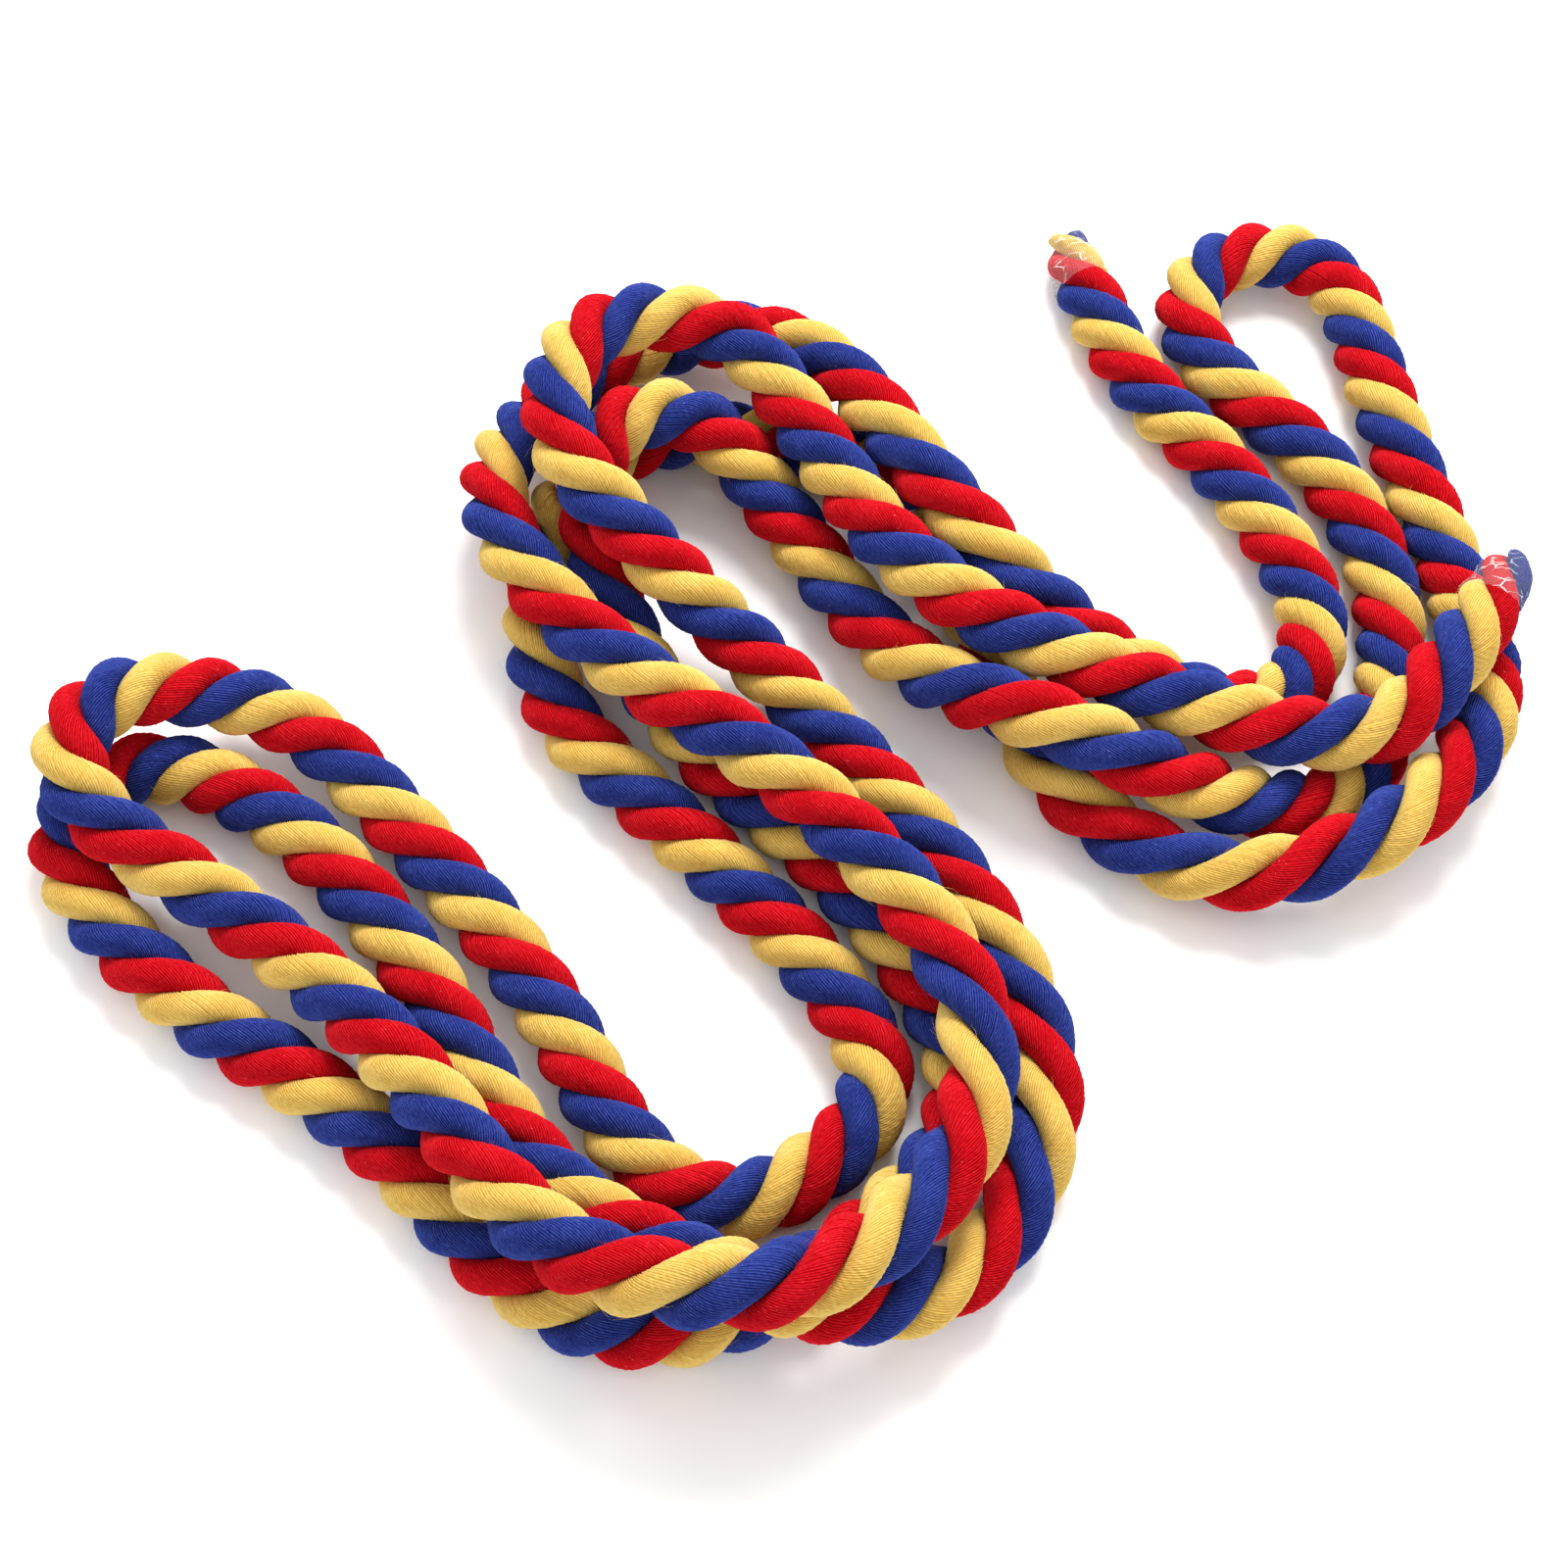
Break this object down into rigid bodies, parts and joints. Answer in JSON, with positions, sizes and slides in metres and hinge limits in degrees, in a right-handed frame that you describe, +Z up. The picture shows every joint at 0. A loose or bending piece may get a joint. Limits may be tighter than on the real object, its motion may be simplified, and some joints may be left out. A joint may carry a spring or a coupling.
{
  "type": "twisted rope hank",
  "caption": "Thick three-strand twisted cotton rope for yard games, folded into a flat S-shaped hank, with clear tape wrapped round the cut ends.",
  "frame": {"origin": "middle of the hank's outline, on the floor that it lies on", "axes": "+X along the hank's length, towards the side where the last end lies, +Y across it, towards the first end, +Z up"},
  "size_m": [0.4952, 0.4305, 0.0737],
  "materials": {
    "rope": "matte dyed cotton, three strands seen as one round",
    "red_strand": "matte dyed cotton yarn, red",
    "blue_strand": "matte dyed cotton yarn, blue",
    "yellow_strand": "matte dyed cotton yarn, yellow",
    "clear_tape": "clear glossy adhesive tape"
  },
  "bodies": {
    "root": {"rope_01": "rope", "rope_02": "rope", "rope_03": "rope", "rope_04": "rope", "rope_05": "rope", "rope_06": "rope", "rope_07": "rope", "rope_08": "rope", "rope_09": "rope", "rope_10": "rope", "rope_11": "rope", "rope_12": "rope", "rope_13": "rope", "rope_14": "rope", "rope_15": "rope", "rope_16": "rope", "rope_17": "rope", "rope_18": "rope", "rope_19": "rope", "rope_20": "rope", "rope_21": "rope", "rope_first_end": "rope", "rope_last_end": "rope", "tape_first_end": "clear_tape", "tape_last_end": "clear_tape"}
  },
  "joints": []
}
